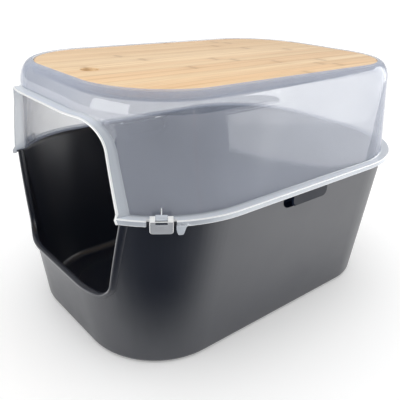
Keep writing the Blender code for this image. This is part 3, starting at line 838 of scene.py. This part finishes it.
def guard_tooth(side):
    """A rounded tab of the skirt beside the clip, on its rear side, following the corner."""
    start, end = TOOTH_ANGLES
    top = SKIRT_BOTTOM + 0.0010
    steps = 28
    sections = []
    for step in range(steps + 1):
        share = step / steps
        near_edge = min(1.0, share / TOOTH_NEAR_SHARE)
        far_edge = min(1.0, (1.0 - share) / TOOTH_FAR_SHARE)
        shape = sin(near_edge * pi / 2) * sin(far_edge * pi / 2) ** TOOTH_FAR_TAPER
        if share < TOOTH_BLUNT_SHARE:
            shape = TOOTH_LEAST_DROP + (1 - TOOTH_LEAST_DROP) * shape
        bottom = SKIRT_BOTTOM - 0.0002 - TOOTH_DROP * shape
        angle = CLIP_ANGLE - (start + (end - start) * share)
        section = []
        for radius, z in ((0.0026, top), (0.0006, top), (0.0006, bottom), (0.0026, bottom)):
            reach = CORNER_RADIUS - radius
            section.append(corner_point(side, reach * sin(angle), reach * cos(angle), z))
        sections.append(section)
    # Painted highlight: the tooth's bottom edge gets the highlight material.
    return sweep(sections, {0: RIM_SLOT, 1: RIM_SLOT, 2: EDGE_HIGHLIGHT_SLOT, 3: RIM_SLOT})


def hood_knuckle(side):
    """The lug on the flange that carries the clip, between the clip's two ears."""
    arc = [a for a in circle((PIVOT_V, PIVOT_Z), KNUCKLE_RADIUS) if a[0] > PIVOT_V - 0.0012]
    arc.sort(key=lambda p: atan2(p[1] - PIVOT_Z, p[0] - PIVOT_V))
    root = [(PIVOT_V - 0.0034, PIVOT_Z + 0.0024), (KNUCKLE_ROOT_V, FLANGE_TOP + 0.0006)]
    root += [(KNUCKLE_ROOT_V, FLANGE_TOP - 0.0008), (NOTCH_V - 0.0003, FLANGE_TOP - 0.0008)]
    root += [(NOTCH_V - 0.0003, FLANGE_TOP + 0.0010)]
    width = EAR_INNER_U - 0.0003
    return corner_prism(side, arc + root, -width, width)


def clip_rib(side):
    """A thin upright rib on the flange above the middle of the clip."""
    foot = FLANGE_TOP - 0.0006
    profile = [(RIB_FOOT_V[0], foot), (RIB_FOOT_V[1], foot), (RIB_FOOT_V[1], PIVOT_Z + 0.0012)]
    profile += [(RIB_TIP_V[1], RIB_TOP), (RIB_TIP_V[0], RIB_TOP)]
    # Painted highlight: the whole rib gets the highlight material.
    return painted(corner_prism(side, profile, -RIB_HALF_WIDTH, RIB_HALF_WIDTH), EDGE_HIGHLIGHT_SLOT)


def stub_bores(side):
    """The two blind bores in the knuckle that take the clip's stubs."""
    bores = []
    for end in (-1, 1):
        profile = circle((PIVOT_V, PIVOT_Z), STUB_BORE)
        low, high = sorted((end * (STUB_END_U - 0.0003), end * (EAR_INNER_U + 0.001)))
        bores.append(corner_prism(side, profile, low, high))
    return bores


def tongue(side):
    """The clip's flat front plate, with rounded lower corners."""
    low, high = TONGUE_Z
    corners = [
        (-TONGUE_HALF_WIDTH, low, TONGUE_CORNER),
        (TONGUE_HALF_WIDTH, low, TONGUE_CORNER),
        (TONGUE_HALF_WIDTH, high, 0),
        (-TONGUE_HALF_WIDTH, high, 0),
    ]
    return corner_plate(side, rounded_polygon(corners), *TONGUE_V, bevel=CLIP_BEVEL)


def ear(side, end):
    """One ear of the clip: a round eye at the pivot, run down into the tongue."""
    eye = circle((PIVOT_V, PIVOT_Z), KNUCKLE_RADIUS)
    upper = [p for p in eye if p[1] >= PIVOT_Z - 0.0001 or p[0] <= PIVOT_V + 0.0006]
    upper.sort(key=lambda p: atan2(p[1] - PIVOT_Z, p[0] - PIVOT_V) % (2 * pi))
    foot_z = TONGUE_Z[1] - 0.0015
    foot = [(TONGUE_V[0] + 0.0003, foot_z), (TONGUE_V[1] - 0.0002, foot_z)]
    low, high = sorted((end * EAR_INNER_U, end * (TONGUE_HALF_WIDTH - 0.0002)))
    return corner_prism(side, upper + foot, low, high)


def build_clip(side, name, materials):
    """A clip: the tongue with its window and boss, two ears and their pivot stubs."""
    clip = add_object(name, tongue(side), materials)
    half, (low_z, high_z) = WINDOW_HALF_WIDTH, WINDOW_Z
    window = rectangle((-half, low_z), (half, high_z))
    boss_low, boss_high = (low_z - below for below in BOSS_BELOW_WINDOW)
    boss = rectangle((-half, boss_low), (half, boss_high))
    window_solid = corner_plate(side, window, TONGUE_V[0] - 0.002, TONGUE_V[1] + 0.002)
    boss_solid = corner_plate(side, boss, TONGUE_V[1] - 0.0006, TONGUE_V[1] + 0.0007)
    combined(clip, painted(window_solid, BODY_SLOT), "DIFFERENCE")
    # Painted highlight: the ears get the highlight material.
    ears = [painted(ear(side, end), EDGE_HIGHLIGHT_SLOT) for end in (1, -1)]
    combined(clip, gathered([boss_solid, *ears]), "UNION")
    stubs = []
    for end in (1, -1):
        profile = circle((PIVOT_V, PIVOT_Z), STUB_RADIUS)
        low, high = sorted((end * STUB_END_U, end * (EAR_INNER_U + 0.002)))
        stubs.append(corner_prism(side, profile, low, high))
    return combined(clip, gathered(stubs), "UNION")


# Board.


def build_board(material):
    """The board, with eased edges and the finger hole."""
    low = BOARD_TOP - BOARD_THICKNESS
    ease = BOARD_EDGE
    stations = round_stations(BOARD, -ease, low + ease, ease, 270, 360)
    stations += round_stations(BOARD, -ease, BOARD_TOP - ease, ease, 0, 90)
    board = add_object("board_panel", loft(stations, closed_profile=False), [material])
    drill = []
    for radius, z in (
        (FINGER_HOLE_RADIUS + FINGER_HOLE_EASE, low - 0.0004),
        (FINGER_HOLE_RADIUS, low + 0.0008),
        (FINGER_HOLE_RADIUS, BOARD_TOP - 0.0008),
        (FINGER_HOLE_RADIUS + FINGER_HOLE_EASE, BOARD_TOP + 0.0004),
    ):
        drill.append([(x, y, z) for x, y in circle((0.0, FINGER_HOLE_Y), radius, 64)])
    return combined(board, sweep(drill), "DIFFERENCE")


# Materials.


class Shader:
    """A material's nodes. Values and output sockets are both given by input name."""

    def __init__(self, name):
        self.material = bpy.data.materials.new(name)
        self.material.use_nodes = True
        self.tree = self.material.node_tree
        self.surface = self.tree.nodes["Principled BSDF"]
        self.place = self.add("ShaderNodeTexCoord").outputs["Object"]

    def put(self, node, **values):
        for name, value in values.items():
            key = int(name[1:]) if name[1:].isdigit() else name.replace("_", " ")
            socket = node.inputs[key]
            if isinstance(value, bpy.types.NodeSocket):
                self.tree.links.new(value, socket)
            else:
                socket.default_value = value
        return node

    def add(self, kind, settings=None, **values):
        node = self.tree.nodes.new(kind)
        for name, value in (settings or {}).items():
            setattr(node, name, value)
        return self.put(node, **values)

    def maths(self, operation, a, b=0.0, c=0.0):
        node = self.add("ShaderNodeMath", {"operation": operation}, i0=a, i1=b, i2=c)
        return node.outputs[0]

    def ranged(self, value, low, high, out_low, out_high):
        return self.add(
            "ShaderNodeMapRange",
            Value=value,
            From_Min=low,
            From_Max=high,
            To_Min=out_low,
            To_Max=out_high,
        ).outputs[0]

    def stretched(self, scale, vector=None):
        return self.add("ShaderNodeMapping", Vector=vector or self.place, Scale=scale).outputs[0]

    def noise(self, scale, detail=2.0, roughness=0.5, vector=None):
        node = self.add(
            "ShaderNodeTexNoise",
            Vector=vector or self.place,
            Scale=scale,
            Detail=detail,
            Roughness=roughness,
        )
        return node.outputs[0]

    def mixed(self, share, first, second):
        node = self.add("ShaderNodeMix", {"data_type": "RGBA"})
        self.put(node, i0=share, i6=first, i7=second)
        return node.outputs[2]

    def bumped(self, height, distance, strength=1.0, normal=None):
        node = self.add("ShaderNodeBump", Height=height, Distance=distance, Strength=strength)
        if normal:
            self.put(node, Normal=normal)
        return node.outputs[0]


def charcoal_plastic(name, rough, shine):
    """Satin polypropylene with a fine eroded grain, slightly uneven in gloss and tone."""
    shader = Shader(name)
    grain = shader.noise(1900.0, 1.0)
    cloud = shader.noise(14.0, 4.0, 0.6)
    scuff = shader.noise(1.0, 5.0, 0.7, shader.stretched((60.0, 60.0, 240.0)))
    tone = shader.mixed(cloud, (0.0046, 0.0078, 0.0190, 1.0), (0.0064, 0.0102, 0.0225, 1.0))
    mark = shader.ranged(scuff, 0.66, 0.80, 0.0, 0.12)
    tone = shader.mixed(mark, tone, (0.10, 0.10, 0.11, 1.0))
    gloss = shader.ranged(cloud, 0.3, 0.7, rough - 0.03, rough + 0.04)
    gloss = shader.maths("ADD", gloss, shader.maths("MULTIPLY", mark, 0.6))
    ripple = shader.bumped(shader.noise(26.0, 2.0), 0.0004, 0.25)
    shader.put(
        shader.surface,
        Base_Color=tone,
        Roughness=gloss,
        IOR=CHARCOAL_IOR,
        Specular_IOR_Level=shine,
        Normal=shader.bumped(grain, 0.00002, 0.3, ripple),
    )
    return shader.material


def milky_plastic(name, colour, solidity, roughness, painted_glow=0.0):
    """Natural polypropylene. A longer way through the wall looks more solid. An emission, painted_glow,
    is painted light: a little glow that stands for the light the wall carries to an edge."""
    shader = Shader(name)
    facing = shader.add("ShaderNodeLayerWeight", Blend=0.5).outputs["Facing"]
    cosine = shader.maths("MAXIMUM", shader.maths("SUBTRACT", 1.0, facing), 0.16)
    cloud = shader.noise(9.0, 3.0, 0.55)
    clear = shader.ranged(cloud, 0.3, 0.7, 1.0 - solidity + 0.02, 1.0 - solidity - 0.02)
    through = shader.maths("POWER", clear, shader.maths("DIVIDE", 1.0, cosine))
    tint = shader.mixed(cloud, colour, tuple(c * 0.95 for c in colour[:3]) + (1.0,))
    shader.put(
        shader.surface,
        Base_Color=tint,
        # Painted light: the emission is a painted glow, not a lamp.
        Emission_Color=colour,
        Emission_Strength=painted_glow,
        Alpha=shader.maths("SUBTRACT", 1.0, through),
        Roughness=shader.ranged(cloud, 0.3, 0.7, roughness * 0.85, roughness * 1.15),
        IOR=MILKY_IOR,
    )
    return shader.material


def bamboo():
    """Strips of light bamboo side by side along Y, with fibres and a few growth nodes."""
    shader = Shader("bamboo")
    axes = shader.add("ShaderNodeSeparateXYZ", Vector=shader.place)
    strip_width = 0.0196
    along, across = axes.outputs["Y"], shader.maths("DIVIDE", axes.outputs["X"], strip_width)
    strip = shader.maths("FLOOR", across)
    chance = shader.add("ShaderNodeTexWhiteNoise", {"noise_dimensions": "1D"}, W=strip)
    other = shader.maths("FRACT", shader.maths("MULTIPLY", chance.outputs[0], 37.0))
    seam = shader.maths("ABSOLUTE", shader.maths("SUBTRACT", shader.maths("FRACT", across), 0.5))
    seam = shader.ranged(seam, 0.482, 0.498, 0.0, 1.0)

    joined = shader.add("ShaderNodeCombineXYZ", X=chance.outputs[0], Y=other, Z=0.0)
    shift = shader.add("ShaderNodeVectorMath", {"operation": "SCALE"})
    shader.put(shift, i0=joined.outputs[0], Scale=7.0)
    adding = shader.add("ShaderNodeVectorMath", {"operation": "ADD"})
    moved = shader.put(adding, i0=shader.place, i1=shift.outputs[0]).outputs[0]
    fibre = shader.noise(1.0, 3.0, 0.6, shader.stretched((900.0, 16.0, 900.0), moved))
    streak = shader.noise(1.0, 4.0, 0.6, shader.stretched((210.0, 3.2, 210.0), moved))
    broad = shader.noise(1.0, 2.0, 0.5, shader.stretched((60.0, 2.0, 60.0), moved))

    knot_gap = 0.36
    turned = shader.maths("ADD", shader.maths("DIVIDE", along, knot_gap), other)
    near = shader.maths("SUBTRACT", shader.maths("FRACT", turned), 0.5)
    near = shader.maths("ABSOLUTE", near)
    ragged = shader.maths("MULTIPLY_ADD", streak, 0.030, -0.015)
    near = shader.maths("ADD", near, ragged)
    knot = shader.ranged(near, 0.004, 0.016, 1.0, 0.0)
    halo = shader.ranged(near, 0.010, 0.060, 1.0, 0.0)

    tone = shader.mixed(chance.outputs[0], (1.0, 0.745, 0.450, 1.0), (0.93, 0.610, 0.325, 1.0))
    tone = shader.mixed(shader.ranged(broad, 0.35, 0.75, 0.0, 0.55), tone, (0.70, 0.43, 0.20, 1.0))
    tone = shader.mixed(shader.ranged(streak, 0.50, 0.78, 0.0, 0.65), tone, (0.56, 0.31, 0.125, 1.0))
    tone = shader.mixed(shader.ranged(fibre, 0.52, 0.75, 0.0, 0.45), tone, (0.55, 0.32, 0.14, 1.0))
    tone = shader.mixed(shader.maths("MULTIPLY", halo, 0.16), tone, (0.55, 0.31, 0.13, 1.0))
    tone = shader.mixed(shader.maths("MULTIPLY", knot, 0.30), tone, (0.33, 0.165, 0.065, 1.0))
    tone = shader.mixed(shader.maths("MULTIPLY", seam, 0.35), tone, (0.42, 0.24, 0.10, 1.0))

    dip = shader.maths("ADD", shader.maths("MULTIPLY", seam, 0.7), shader.maths("MULTIPLY", fibre, 0.5))
    relief = shader.bumped(shader.maths("SUBTRACT", 1.0, dip), 0.00012, 0.5)
    shader.put(
        shader.surface,
        Base_Color=tone,
        Roughness=shader.ranged(streak, 0.3, 0.7, 0.40, 0.54),
        Coat_Weight=0.25,
        Coat_Roughness=0.22,
        Normal=relief,
    )
    return shader.material


# Studio.


def build_floor():
    """The pale matt floor that the box stands on."""
    plane = bmesh.new()
    bmesh.ops.create_grid(plane, x_segments=1, y_segments=1, size=30.0)
    pale = (0.90, 0.90, 0.90, 1.0)
    shader = Shader("pale_floor")
    shader.put(
        shader.surface,
        Base_Color=pale,
        Roughness=0.9,
        Specular_IOR_Level=0.1,
        Emission_Color=pale,
        Emission_Strength=0.18,
    )
    floor = add_object("floor", plane, [shader.material])
    floor.location.z = -0.0005


def reflector(name, corners, radiance, colour=(1.0, 1.0, 1.0), soft=0.0):
    """A flat card that only glossy surfaces see. soft fades it out towards an ellipse's edge."""
    card = bmesh.new()
    card.faces.new([card.verts.new(corner) for corner in corners])
    obj = add_object(name, card)
    shader = Shader(name)
    shader.put(
        shader.surface,
        Base_Color=(0.0, 0.0, 0.0, 1.0),
        Emission_Color=(*colour, 1.0),
        Emission_Strength=radiance,
        Specular_IOR_Level=0.0,
    )
    if soft:
        centre = sum((Vector(c) for c in corners), Vector()) / len(corners)
        along = (Vector(corners[1]) - Vector(corners[0])) / 2
        up = (Vector(corners[-1]) - Vector(corners[0])) / 2
        local = shader.add("ShaderNodeVectorMath", {"operation": "SUBTRACT"}, i0=shader.place)
        local.inputs[1].default_value = centre
        parts = []
        for axis in (along, up):
            node = shader.add("ShaderNodeVectorMath", {"operation": "DOT_PRODUCT"})
            shader.put(node, i0=local.outputs[0])
            node.inputs[1].default_value = axis / axis.length_squared
            parts.append(shader.maths("MULTIPLY", node.outputs["Value"], node.outputs["Value"]))
        edge = shader.maths("SQRT", shader.maths("ADD", *parts))
        shader.put(shader.surface, Alpha=shader.ranged(edge, 1.0 - soft, 1.0, 1.0, 0.0))
    obj.data.materials.append(shader.material)
    obj.visible_camera = False
    obj.visible_diffuse = False
    obj.visible_shadow = False


def standing_card(name, start, azimuth, distance, sides, radiance, **looks):
    """A card square to the direction azimuth from start. Azimuth 0 is in front and 90 at +X.
    sides is (across, height) of each corner; across runs to the right seen from start."""
    a = radians(azimuth)
    ahead, right = Vector((sin(a), -cos(a), 0)), Vector((-cos(a), -sin(a), 0))
    corners = []
    for across, height in sides:
        point = Vector(start) + ahead * distance + right * across
        corners.append(Vector((point.x, point.y, height)))
    reflector(name, corners, radiance, **looks)


def floor_card(name, centre, turn, half_size, radiance, soft):
    """A soft-edged elliptic card that lies just above the floor."""
    spin = Matrix.Rotation(radians(turn), 3, "Z")
    corners = []
    for x, y in ((-1, -1), (1, -1), (1, 1), (-1, 1)):
        corner = spin @ Vector((x * half_size[0], y * half_size[1], 0.0))
        corners.append(corner + Vector((*centre, 0.0005)))
    reflector(name, corners, radiance, soft=soft)


def build_reflectors():
    """What the glossy surfaces mirror, aimed for the main view: softboxes, a stand, and
    bright and dark floor."""
    long_side = (0.18, -0.05, 0.27)
    corner = (0.11, -0.245, 0.33)
    window = ((-1.0, 0.15), (0.6, 0.10), (0.3, 0.20), (0.3, 1.0), (-1.0, 1.0))
    standing_card("side_window", long_side, 150, 1.3, window, radiance=3.0)
    stand = ((-0.022, 0.0), (0.022, 0.0), (0.022, 0.6), (-0.022, 0.6))
    warm = (1.0, 0.80, 0.74)
    standing_card("side_stand", long_side, 86, 1.5, stand, radiance=1.2, colour=warm)
    front = ((-0.62, 0.26), (0.66, 0.26), (0.66, 1.10), (-0.62, 1.10))
    standing_card("front_box", corner, 0, 1.5, front, radiance=2.7)
    floor_card("floor_right", (0.50, 0.30), 72, (0.62, 0.27), radiance=1.5, soft=0.5)
    floor_card("floor_front", (-0.28, -0.58), 0, (0.46, 0.30), radiance=3.4, soft=0.5)
    floor_card("floor_dark", (0.44, -0.42), -38, (0.36, 0.45), radiance=0.0, soft=0.25)


def world_ramp(tree, direction, low, high):
    """A brightness that rises from low to high towards a direction of the sky."""
    place = tree.nodes.new("ShaderNodeTexCoord")
    dot = tree.nodes.new("ShaderNodeVectorMath")
    dot.operation = "DOT_PRODUCT"
    dot.inputs[1].default_value = Vector(direction).normalized()
    tree.links.new(place.outputs["Generated"], dot.inputs[0])
    ramp = tree.nodes.new("ShaderNodeMapRange")
    ramp.inputs["From Min"].default_value = low[0]
    ramp.inputs["From Max"].default_value = high[0]
    ramp.inputs["To Min"].default_value = low[1]
    ramp.inputs["To Max"].default_value = high[1]
    tree.links.new(dot.outputs["Value"], ramp.inputs["Value"])
    return ramp.outputs["Result"]


def build_world():
    """A pale room. Reflections see it bright at the back left and dark on the near side."""
    world = bpy.data.worlds.new("studio")
    bpy.context.scene.world = world
    world.use_nodes = True
    tree = world.node_tree
    seen = world_ramp(tree, (-0.70, 0.62, 0.35), (-0.5, 0.024), (0.95, 0.57))
    fill = world_ramp(tree, (0.0, 0.0, 1.0), (-0.1, 0.45), (1.0, 1.42))
    rays = tree.nodes.new("ShaderNodeLightPath")
    choose = tree.nodes.new("ShaderNodeMix")
    tree.links.new(rays.outputs["Is Glossy Ray"], choose.inputs["Factor"])
    tree.links.new(fill, choose.inputs["A"])
    tree.links.new(seen, choose.inputs["B"])
    tree.links.new(choose.outputs["Result"], tree.nodes["Background"].inputs["Color"])


def build_camera():
    """The camera that fits the object's outlines: where it stands, its aim, roll and lens."""
    camera = bpy.data.objects.new("camera", bpy.data.cameras.new("camera"))
    bpy.context.scene.collection.objects.link(camera)
    ahead = Vector((-0.6839, 0.6079, -0.4033)).normalized()
    level = ahead.cross(Vector((0, 0, 1))).normalized()
    roll = radians(2.37)
    upright = level.cross(ahead)
    right = level * cos(roll) + upright * sin(roll)
    up = upright * cos(roll) - level * sin(roll)
    place = (0.5613, MIDDLE_Y - 0.4909, 0.4587)
    aim = Matrix((right, up, -ahead)).transposed().to_4x4()
    camera.matrix_world = Matrix.Translation(place) @ aim
    camera.data.sensor_width = 36.0
    camera.data.lens = 46.24
    camera.data.shift_x = -0.0309
    camera.data.shift_y = -0.0086
    camera.data.clip_start = 0.01
    bpy.context.scene.camera = camera


build_camera()
charcoal = charcoal_plastic("charcoal_plastic", 0.34, 0.83)
# Grip flap faces: rougher, which is a finish, and less shiny, which is painted shade that makes them
# darker.
charcoal_grip_rough_shaded = charcoal_plastic("charcoal_grip_rough_shaded", 0.50, 0.32)
# Painted shade: a copy with almost no shine, so that hollows and gaps read black.
charcoal_painted_shade = charcoal_plastic("charcoal_painted_shade", 0.60, 0.02)
# The hood's wall; its small glow is painted light that lifts the wall seen through the mouth.
milky = milky_plastic("milky_plastic", (0.46, 0.51, 0.635, 1.0), 0.22, 0.035, painted_glow=0.012)
# Painted highlight: whiter, nearly solid and glowing, for the bright edges, the bead's highlight line
# and the clips' ears.
milky_edge_highlight = milky_plastic("milky_edge_highlight", (0.84, 0.85, 0.85, 1.0), 0.90, 0.30, painted_glow=0.06)
# Rims, crest, collar flare and clip hinges: a more solid plastic for the thicker moulding; its glow and
# part of its lightness are painted light.
milky_rim = milky_plastic("milky_rim", (0.75, 0.80, 0.87, 1.0), 0.43, 0.14, painted_glow=0.06)
# The clips' bodies: a more solid plastic whose glow is painted light.
milky_clip = milky_plastic("milky_clip", (0.60, 0.62, 0.66, 1.0), 0.42, 0.14, painted_glow=0.05)
hood_set = [milky, milky_edge_highlight, milky_rim]
clip_set = [milky, milky_edge_highlight, milky_clip]
finished(build_tub([charcoal, charcoal_grip_rough_shaded, charcoal_painted_shade]), "tub", ["tub"])
finished(build_hood(hood_set), "hood", ["hood"])
finished(build_board(bamboo()), "board", ["bamboo_board"])
for side, name in ((1, "clip_right"), (-1, "clip_left")):
    clip = build_clip(side, name + "_moulding", clip_set)
    finished(clip, name, [name])
build_floor()
build_reflectors()
build_world()
bpy.context.scene.view_settings.view_transform = "Standard"
